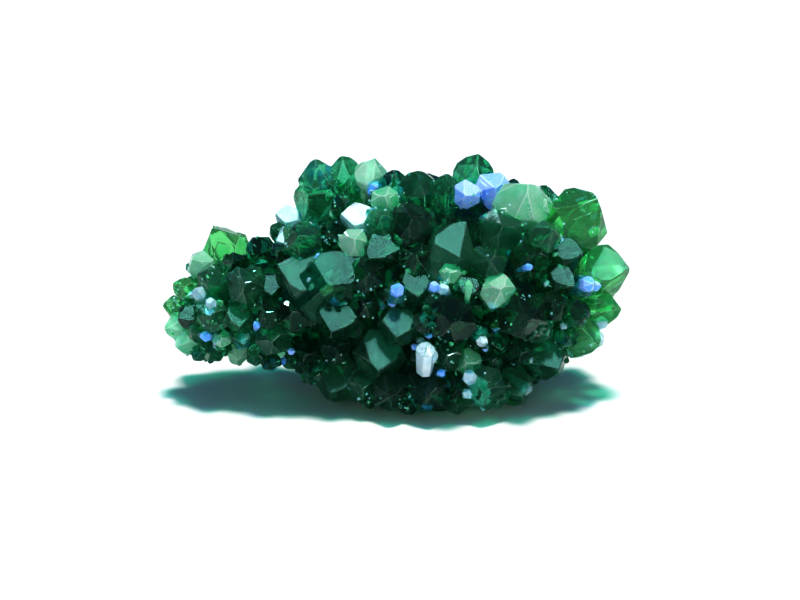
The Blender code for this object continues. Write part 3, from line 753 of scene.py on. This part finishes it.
def grains(placed):
    """Tiny crystals on the faces of larger ones, each where a line from the middle leaves the crystal.

    They stand where three waves along X, Y and Z, GRAIN_PATCH long, are high together.
    """
    rng = np.random.default_rng(SEED + 4)
    found = []
    for _ in range(GRAIN_COUNT):
        head, axes, half_width, root, sides, tips, _kind = placed[rng.integers(len(placed))]
        way = unit(rng.normal(size=3) * GRAIN_SPREAD + GRAIN_RISE)
        normals, distances = crystal_planes(half_width, root, sides, tips)
        facing = normals @ way
        ahead = facing > GRAIN_FACING
        reach = (distances[ahead] / facing[ahead]).min()
        place = head + (way * (reach - GRAIN_DEPTH)) @ axes
        lean = crystal_frame(unit(way @ axes), rng.uniform(0.0, ALIKE_AFTER_DEG))
        small = rng.uniform(*GRAIN_HALF_WIDTH)
        own_sides, own_tips = uneven_shares(rng, 0.0)
        kind = GRAIN_KINDS[rng.integers(len(GRAIN_KINDS))]
        waves = np.sin(place / GRAIN_PATCH * 2.0 * math.pi + GRAIN_PHASES)
        patch = waves.sum() / 3.0 + rng.normal() * GRAIN_STRAY
        is_plain = float(tips[0]) in BROAD_SHARES
        if place[2] > FINE_FLOOR and patch > GRAIN_SHARE and not is_plain:
            found.append((place, lean, small, small * GRAIN_ROOT, own_sides, own_tips, kind))
    return found


def is_closed(corners, triangles):
    """Whether each edge is passed once in each direction, as on a closed surface."""
    passed = {edge for a, b, c in triangles for edge in ((a, b), (b, c), (c, a))}
    once = len(passed) == 3 * len(triangles)
    return len(corners) >= 4 and once and all((b, a) in passed for a, b in passed)


def stepped(rng, normals, distances, half_width, has_broad_face):
    """Plane distances of thin plates that grew on the faces.

    The plate's own plane moves out by STEP_HEIGHT, and the others move in, the more the less they look the
    same way. The root stays.
    """
    plates = []
    for _ in range(rng.integers(0, MOST_PLATES + 1)):
        face = rng.integers(BROAD_PLANE + 1 if has_broad_face else 0, ROOT_PLANE)
        inset = rng.uniform(*STEP_INSET, len(distances)) * half_width
        plate = distances - inset * (1.0 - np.clip(normals @ normals[face], 0.0, 1.0))
        plate[face] = distances[face] + rng.uniform(*STEP_HEIGHT)
        plate[ROOT_PLANE] = distances[ROOT_PLANE]
        plates.append(plate)
    return plates


def crystal_solids(rng, entry):
    """The solids of one crystal: its body, the plates on its faces and the small ones beside it.

    Each is its corners, its triangles, their tones, the crystal's axis and the crystal's shade.
    """
    head, frame_axes, half_width, root, sides, tips, _kind = entry
    normals, distances = crystal_planes(half_width, root, sides, tips)
    has_broad_face = float(tips[0]) in BROAD_SHARES
    solids = []

    def add(plane_distances, middle):
        """Adds the solid inside these planes, unworn where wear leaves it open."""
        worn = (normals, plane_distances)
        if half_width > WORN_FROM:
            worn = with_worn_edges(normals, plane_distances, EDGE_WIDTH)
        corners, triangles, planes = solid_of_planes(*worn)
        if not is_closed(corners, triangles):
            corners, triangles, planes = solid_of_planes(normals, plane_distances)
        # Each face's tone also paints it lighter or darker in the material: painted shade and light on the
        # facets.
        tones = rng.random(len(worn[0]))
        tones[CRYSTAL_PLANES:] = EDGE_TONE
        if has_broad_face:
            tones[BROAD_PLANE] = BROAD_TONE
        tones = tones[planes]
        if is_closed(corners, triangles):
            solids.append((corners @ frame_axes + middle, triangles, tones))

    add(distances, head)
    if half_width > PLATES_FROM:
        for plate in stepped(rng, normals, distances, half_width, has_broad_face):
            add(plate, head)
    if half_width > SIDE_CRYSTALS_FROM:
        for _ in range(rng.integers(0, MOST_SIDE_CRYSTALS + 1)):
            share = rng.uniform(*SIDE_CRYSTAL_SHARE)
            around = rng.uniform(0.0, 2.0 * math.pi)
            way = np.array((math.cos(around), math.sin(around), rng.uniform(*SIDE_CRYSTAL_UP)))
            small = distances * share
            small[ROOT_PLANE] = half_width
            add(small, head + (way * half_width * SIDE_CRYSTAL_OUT) @ frame_axes)
    shade = rng.random()
    return [(*solid, frame_axes[2], shade) for solid in solids]


def mesh_object(name, corners, triangles, tones, axis, shade, collection):
    """A mesh with what its material reads on each face: a tone, the crystal's axis and its shade."""
    mesh = bpy.data.meshes.new(name)
    mesh.from_pydata((np.asarray(corners) * MM).tolist(), [], triangles)
    tone = mesh.attributes.new("tone", "FLOAT", "FACE")
    tone.data.foreach_set("value", np.asarray(tones, np.float32))
    way = mesh.attributes.new("axis", "FLOAT_VECTOR", "FACE")
    way.data.foreach_set("vector", np.tile(np.asarray(axis, np.float32), len(triangles)))
    depth = mesh.attributes.new("shade", "FLOAT", "FACE")
    depth.data.foreach_set("value", np.full(len(triangles), shade, np.float32))
    obj = bpy.data.objects.new(name, mesh)
    collection.objects.link(obj)
    return obj


def grown_together(name, solids):
    """One object from overlapping solids: their union, cut flat underneath."""
    scene = bpy.context.scene.collection
    others = bpy.data.collections.new(name + "_parts")
    scene.children.link(others)
    whole = mesh_object(name, *solids[0], scene)
    for index, solid in enumerate(solids[1:]):
        mesh_object(f"{name}_{index}", *solid, others)
    size = CUTTER_SIZE / 2
    corners = np.array([(x, y, z) for x in (-1, 1) for y in (-1, 1) for z in (-1, 1)]) * float(size)
    corners[:, 2] += CUT_HEIGHT - size
    faces = [(0, 1, 3, 2), (4, 6, 7, 5), (0, 4, 5, 1), (2, 3, 7, 6), (0, 2, 6, 4), (1, 5, 7, 3)]
    cutter = mesh_object(name + "_cutter", corners, faces, np.zeros(6), (0, 0, 1), 0.0, scene)
    union = whole.modifiers.new("grown together", "BOOLEAN")
    union.operation = "UNION"
    union.solver = "MANIFOLD"
    union.operand_type = "COLLECTION"
    union.collection = others
    cut = whole.modifiers.new("flat base", "BOOLEAN")
    cut.operation = "DIFFERENCE"
    cut.solver = "MANIFOLD"
    cut.object = cutter
    graph = bpy.context.evaluated_depsgraph_get()
    mesh = bpy.data.meshes.new_from_object(whole.evaluated_get(graph))
    whole.modifiers.clear()
    whole.data = mesh
    mesh.name = name
    for obj in [*others.objects, cutter]:
        bpy.data.objects.remove(obj, do_unlink=True)
    bpy.data.collections.remove(others)
    return whole


def cluster_pieces():
    """One piece for each kind of crystal. The masses they stand on are part of the dark ones."""
    rng = np.random.default_rng(SEED + 1)
    solids = {kind: [] for kind in KINDS}
    for middle, half in MASSES:
        corners, faces = mass_mesh(middle, half)
        solids["g"].append((corners, faces, np.full(len(faces), 0.5), (0.0, 0.0, 1.0), 0.0))
    for entry in entries():
        solids[entry[-1]] += crystal_solids(rng, entry)
    pieces = {}
    for kind, name in KINDS.items():
        pieces[kind] = grown_together(name, solids[kind])
    return pieces


def new_material(name):
    """An empty material and its node tree."""
    material = bpy.data.materials.new(name)
    material.use_nodes = True
    material.node_tree.nodes.clear()
    return material, material.node_tree


def add_node(tree, kind, **values):
    """A node of this kind. Each value goes to the input of that name, or else to the setting."""
    made = tree.nodes.new(kind)
    for key, value in values.items():
        if key in made.inputs:
            made.inputs[key].default_value = value
        else:
            setattr(made, key, value)
    return made


def skin_group():
    """What the faces of every crystal share: dull faces and patches, specks, growth lines and grit.

    Frost is high where a face or a patch is dull. Specks are dots and thin veils in cloudy patches, and
    stretches of the worn edges, which catch the light. Shade differs from crystal to crystal and in soft
    mottling, which is colour, and from face to face, which is painted shade and light on the facets. Height
    is
    for a bump: growth lines across the crystal's axis, and grit where it is dull. A broad face, whose tone is
    BROAD_TONE, has no specks and is a little dull all over.
    """
    group = bpy.data.node_groups.new("crystal_skin", "ShaderNodeTree")
    for name in ("Dull Share", "Line Depth", "Cloud Edge"):
        group.interface.new_socket(name, in_out="INPUT", socket_type="NodeSocketFloat")
    for name in ("Frost", "Specks", "Shade", "Height"):
        group.interface.new_socket(name, in_out="OUTPUT", socket_type="NodeSocketFloat")
    inputs = group.nodes.new("NodeGroupInput")
    outputs = group.nodes.new("NodeGroupOutput")
    link = group.links.new
    place = group.nodes.new("ShaderNodeTexCoord").outputs["Object"]

    def math_node(operation, first, second=0.0):
        made = add_node(group, "ShaderNodeMath", operation=operation)
        for socket, value in zip(made.inputs, (first, second)):
            if isinstance(value, float):
                socket.default_value = value
            else:
                link(value, socket)
        return made.outputs[0]

    def noise(scale, detail):
        made = add_node(group, "ShaderNodeTexNoise", Scale=scale, Detail=detail, Roughness=0.6)
        link(place, made.inputs["Vector"])
        return made.outputs["Fac"]

    def ramp(value, low, high):
        made = add_node(group, "ShaderNodeMapRange")
        for name, edge in (("From Min", low), ("From Max", high)):
            if isinstance(edge, float):
                made.inputs[name].default_value = edge
            else:
                link(edge, made.inputs[name])
        link(value, made.inputs["Value"])
        return made.outputs["Result"]

    tone = add_node(group, "ShaderNodeAttribute", attribute_name="tone").outputs["Fac"]
    axis = add_node(group, "ShaderNodeAttribute", attribute_name="axis").outputs["Vector"]
    shade = add_node(group, "ShaderNodeAttribute", attribute_name="shade").outputs["Fac"]
    patches = noise(PATCH_SCALE, 3.0)
    grit = noise(GRIT_SCALE, 2.0)
    cloud_edge = inputs.outputs["Cloud Edge"]
    cloud = ramp(patches, cloud_edge, math_node("ADD", cloud_edge, CLOUD_BAND))
    on_edge = math_node("GREATER_THAN", tone, (BROAD_TONE + EDGE_TONE) / 2.0)
    on_face = math_node("SUBTRACT", 1.0, on_edge)
    on_broad = math_node("MULTIPLY", math_node("GREATER_THAN", tone, JUST_UNDER_BROAD), on_face)
    elsewhere = math_node("SUBTRACT", 1.0, on_broad)

    dull_face = math_node("MULTIPLY", math_node("LESS_THAN", tone, inputs.outputs["Dull Share"]), DULL_FACE)
    dullness = math_node("MAXIMUM", dull_face, math_node("MULTIPLY", cloud, DULL_CLOUD))
    dullness = math_node("MULTIPLY", dullness, elsewhere)
    dullness = math_node("MAXIMUM", dullness, math_node("MULTIPLY", on_broad, DULL_BROAD))
    unevenness = math_node("ADD", math_node("MULTIPLY", grit, GRIT_SHARE), 1.0 - GRIT_SHARE / 2.0)
    frost = math_node("MULTIPLY", dullness, unevenness)

    dots = add_node(group, "ShaderNodeTexVoronoi", Scale=DOT_SCALE)
    link(place, dots.inputs["Vector"])
    dot = math_node("SUBTRACT", 1.0, ramp(dots.outputs["Distance"], *DOT_RANGE))
    streaks = add_node(group, "ShaderNodeTexNoise", Scale=VEIL_SCALE, Detail=4.0, Distortion=1.5)
    link(place, streaks.inputs["Vector"])
    ridge = math_node("ABSOLUTE", math_node("SUBTRACT", streaks.outputs["Fac"], 0.5))
    veil = math_node("SUBTRACT", 1.0, ramp(ridge, *VEIL_RANGE))
    either = math_node(
        "MAXIMUM", math_node("MULTIPLY", dot, DOT_SHINE), math_node("MULTIPLY", veil, VEIL_SHINE)
    )
    flaws = math_node("MULTIPLY", math_node("MULTIPLY", either, cloud), elsewhere)
    worn_edge = math_node("MULTIPLY", on_edge, ramp(patches, *WORN_RANGE))
    specks = math_node("MAXIMUM", flaws, math_node("MULTIPLY", worn_edge, EDGE_SHINE))

    along = add_node(group, "ShaderNodeVectorMath", operation="DOT_PRODUCT")
    link(place, along.inputs[0])
    link(axis, along.inputs[1])
    wander = math_node("ADD", along.outputs["Value"], math_node("MULTIPLY", patches, LINE_WANDER))
    lines = add_node(group, "ShaderNodeTexNoise", noise_dimensions="1D", Scale=LINE_SCALE, Detail=2.0)
    link(wander, lines.inputs["W"])
    ridges = math_node("MULTIPLY", lines.outputs["Fac"], inputs.outputs["Line Depth"])
    height = math_node("ADD", ridges, math_node("MULTIPLY", frost, GRIT_HEIGHT))

    mottle = math_node("MULTIPLY", ramp(noise(MOTTLE_SCALE, 5.0), *MOTTLE_RANGE), MOTTLE_SHARE)
    # Painted shade and light: each face lighter or darker by its tone, worn edges and broad faces the
    # lightest.
    painted_face_shade = math_node("MULTIPLY", math_node("MINIMUM", tone, 1.0), FACE_SHARE)
    each_crystal = math_node("MULTIPLY", shade, CRYSTAL_SHARE)
    tint_and_painted_face_shade = math_node("ADD", math_node("ADD", painted_face_shade, each_crystal), mottle)
    for name, value in (("Frost", frost), ("Specks", specks), ("Shade", tint_and_painted_face_shade), ("Height", height)):
        link(value, outputs.inputs[name])
    return group


SKIN = skin_group()


def crystal_material(
    name,
    deep,
    light,
    speck,
    roughness,
    dull_share,
    cloud_edge,
    line_depth,
    transmission,
    depth_colour,
    shadow,
):
    """A crystal: clear and dull faces, specks, a colour that deepens with thickness, a tinted shadow.

    Its colour runs from deep to light with the shade, and to speck in the specks. Its roughness runs between
    the two values with the frost. The depth colour is what is left of white light, and how soon, per metre.
    """
    material, tree = new_material(name)
    link = tree.links.new
    out = tree.nodes.new("ShaderNodeOutputMaterial")
    body = add_node(
        tree,
        "ShaderNodeBsdfPrincipled",
        **{
            "Transmission Weight": transmission,
            "IOR": CRYSTAL_IOR,
            "Metallic": 0.0,
            "Specular Tint": (*GLOSS_TINT, 1.0),
            "Coat IOR": FLAW_IOR,
            "Coat Roughness": FLAW_ROUGHNESS,
        },
    )
    skin = tree.nodes.new("ShaderNodeGroup")
    skin.node_tree = SKIN
    skin.inputs["Dull Share"].default_value = dull_share
    skin.inputs["Cloud Edge"].default_value = cloud_edge
    skin.inputs["Line Depth"].default_value = line_depth
    own = add_node(tree, "ShaderNodeMix", data_type="RGBA")
    own.inputs[6].default_value = (*deep, 1.0)
    own.inputs[7].default_value = (*light, 1.0)
    link(skin.outputs["Shade"], own.inputs[0])
    colour = add_node(tree, "ShaderNodeMix", data_type="RGBA")
    colour.inputs[7].default_value = (*speck, 1.0)
    link(skin.outputs["Specks"], colour.inputs[0])
    link(own.outputs[2], colour.inputs[6])
    link(colour.outputs[2], body.inputs["Base Color"])
    link(skin.outputs["Specks"], body.inputs["Coat Weight"])
    rough = add_node(tree, "ShaderNodeMapRange", **{"To Min": roughness[0], "To Max": roughness[1]})
    link(skin.outputs["Frost"], rough.inputs["Value"])
    link(rough.outputs["Result"], body.inputs["Roughness"])
    bump = add_node(tree, "ShaderNodeBump", Strength=BUMP_STRENGTH, Distance=BUMP_DEPTH)
    link(skin.outputs["Height"], bump.inputs["Height"])
    link(bump.outputs["Normal"], body.inputs["Normal"])
    lamp_way = add_node(tree, "ShaderNodeBsdfTransparent", Color=(*shadow, 1.0))
    path = tree.nodes.new("ShaderNodeLightPath")
    pick = tree.nodes.new("ShaderNodeMixShader")
    link(path.outputs["Is Shadow Ray"], pick.inputs[0])
    link(body.outputs[0], pick.inputs[1])
    link(lamp_way.outputs[0], pick.inputs[2])
    link(pick.outputs[0], out.inputs["Surface"])
    absorbed = add_node(
        tree, "ShaderNodeVolumeAbsorption", Color=(*depth_colour[0], 1.0), Density=depth_colour[1]
    )
    link(absorbed.outputs[0], out.inputs["Volume"])
    return material


def crystal_materials():
    """The material of each kind of crystal."""
    return {
        "g": crystal_material(
            "dark_green_crystal",
            deep=(0.03, 0.46, 0.34),
            light=(0.48, 1.0, 0.84),
            speck=(0.60, 0.98, 0.78),
            roughness=(0.02, 0.24),
            dull_share=0.05,
            cloud_edge=0.49,
            line_depth=0.04,
            transmission=0.97,
            depth_colour=((0.0, 0.74, 0.60), 190.0),
            shadow=(0.06, 0.62, 0.56),
        ),
        "m": crystal_material(
            "cloudy_green_crystal",
            deep=(0.02, 0.38, 0.24),
            light=(0.38, 1.0, 0.74),
            speck=(0.62, 0.95, 0.76),
            roughness=(0.03, 0.40),
            dull_share=0.10,
            cloud_edge=0.40,
            line_depth=0.12,
            transmission=0.90,
            depth_colour=((0.0, 0.80, 0.58), 110.0),
            shadow=(0.08, 0.64, 0.54),
        ),
        # Yellow-green crystals at the rims, made paler and less deep: partly painted light, the glow of thin
        # backlit crystals.
        "b": crystal_material(
            "bright_green_crystal",
            deep=(0.05, 0.70, 0.28),
            light=(0.58, 1.0, 0.60),
            speck=(0.85, 1.0, 0.75),
            roughness=(0.02, 0.28),
            dull_share=0.06,
            cloud_edge=0.48,
            line_depth=0.40,
            transmission=0.85,
            depth_colour=((0.1, 0.93, 0.34), 46.0),
            shadow=(0.35, 0.78, 0.72),
        ),
        "p": crystal_material(
            "pale_green_crystal",
            deep=(0.08, 0.80, 0.40),
            light=(0.78, 1.0, 0.90),
            speck=(0.92, 1.0, 0.96),
            roughness=(0.06, 0.40),
            dull_share=0.08,
            cloud_edge=0.44,
            line_depth=0.30,
            transmission=0.50,
            depth_colour=((0.1, 0.88, 0.42), 45.0),
            shadow=(0.35, 0.74, 0.72),
        ),
        # White crystals: partly their own white, partly painted reflection where they stand for facets that
        # flash white.
        "w": crystal_material(
            "white_crystal_and_painted_reflection",
            deep=(0.22, 0.50, 0.66),
            light=(0.92, 0.95, 1.0),
            speck=(0.10, 0.44, 0.34),
            roughness=(0.05, 0.45),
            dull_share=0.20,
            cloud_edge=0.42,
            line_depth=0.40,
            transmission=0.25,
            depth_colour=((0.70, 0.92, 0.95), 30.0),
            shadow=(0.60, 0.75, 0.80),
        ),
        "s": crystal_material(
            "blue_crystal",
            deep=(0.10, 0.42, 1.0),
            light=(0.50, 0.60, 1.0),
            speck=(0.62, 0.74, 1.0),
            roughness=(0.40, 0.80),
            dull_share=0.60,
            cloud_edge=0.40,
            line_depth=1.2,
            transmission=0.05,
            depth_colour=((0.30, 0.50, 0.95), 30.0),
            shadow=(0.40, 0.60, 0.95),
        ),
    }


def studio():
    """A plain pale floor, a soft surrounding and the lamps of LAMPS."""
    scene = bpy.context.scene
    mesh = bpy.data.meshes.new("floor")
    corners = [(x * FLOOR_HALF, y * FLOOR_HALF, 0.0) for x, y in ((-1, -1), (1, -1), (1, 1), (-1, 1))]
    mesh.from_pydata(corners, [], [(0, 1, 2, 3)])
    floor = bpy.data.objects.new("floor", mesh)
    scene.collection.objects.link(floor)
    material, tree = new_material("pale_floor")
    out = tree.nodes.new("ShaderNodeOutputMaterial")
    paint = add_node(tree, "ShaderNodeBsdfDiffuse", Color=(FLOOR_TONE, FLOOR_TONE, FLOOR_TONE, 1.0))
    tree.links.new(paint.outputs[0], out.inputs["Surface"])
    mesh.materials.append(material)

    world = bpy.data.worlds.new("pale_studio")
    world.use_nodes = True
    background = world.node_tree.nodes["Background"]
    background.inputs["Color"].default_value = (*FILL_COLOUR, 1.0)
    background.inputs["Strength"].default_value = FILL_STRENGTH
    scene.world = world

    for name, way, width, strength, colour, is_mirrored in LAMPS:
        lamp = bpy.data.lights.new(name, "SUN")
        lamp.angle = math.radians(width)
        lamp.energy = strength
        lamp.color = colour
        lit = bpy.data.objects.new(name, lamp)
        scene.collection.objects.link(lit)
        lit.rotation_euler = Vector(way).to_track_quat("Z", "Y").to_euler()
        lit.visible_glossy = is_mirrored
        lit.visible_diffuse = not is_mirrored
        lit.visible_transmission = False


def camera():
    """The viewer's place: VIEW_TILT_DEG above level, with the lens that shows FRAME_WIDTH_MM."""
    right, up, near = view_axes()
    middle = (right * FRAME_MIDDLE[0] + up * FRAME_MIDDLE[1] + near * FRAME_MIDDLE[2]) * MM
    data = bpy.data.cameras.new("camera")
    data.lens = data.sensor_width * CAMERA_DISTANCE / (FRAME_WIDTH_MM * MM)
    data.clip_start = 0.01
    data.clip_end = 50.0
    viewer = bpy.data.objects.new("camera", data)
    bpy.context.scene.collection.objects.link(viewer)
    viewer.location = Vector(middle + near * CAMERA_DISTANCE)
    viewer.rotation_euler = Vector(near).to_track_quat("Z", "Y").to_euler()
    bpy.context.scene.camera = viewer


pieces = cluster_pieces()
materials = crystal_materials()
for kind, piece in pieces.items():
    piece.data.materials.clear()
    piece.data.materials.append(materials[kind])
    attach(piece, "root")
    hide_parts("crystal_cluster")

studio()
camera()

scene = bpy.context.scene
scene.view_settings.view_transform = "Standard"
scene.view_settings.gamma = PICTURE_GAMMA
scene.cycles.max_bounces = CLEAR_BOUNCES
scene.cycles.transmission_bounces = CLEAR_BOUNCES
scene.cycles.glossy_bounces = GLOSSY_BOUNCES
scene.cycles.diffuse_bounces = DIFFUSE_BOUNCES
scene.cycles.transparent_max_bounces = SHADOW_CROSSINGS
scene.cycles.caustics_refractive = True
scene.cycles.caustics_reflective = False
scene.cycles.blur_glossy = CAUSTIC_BLUR
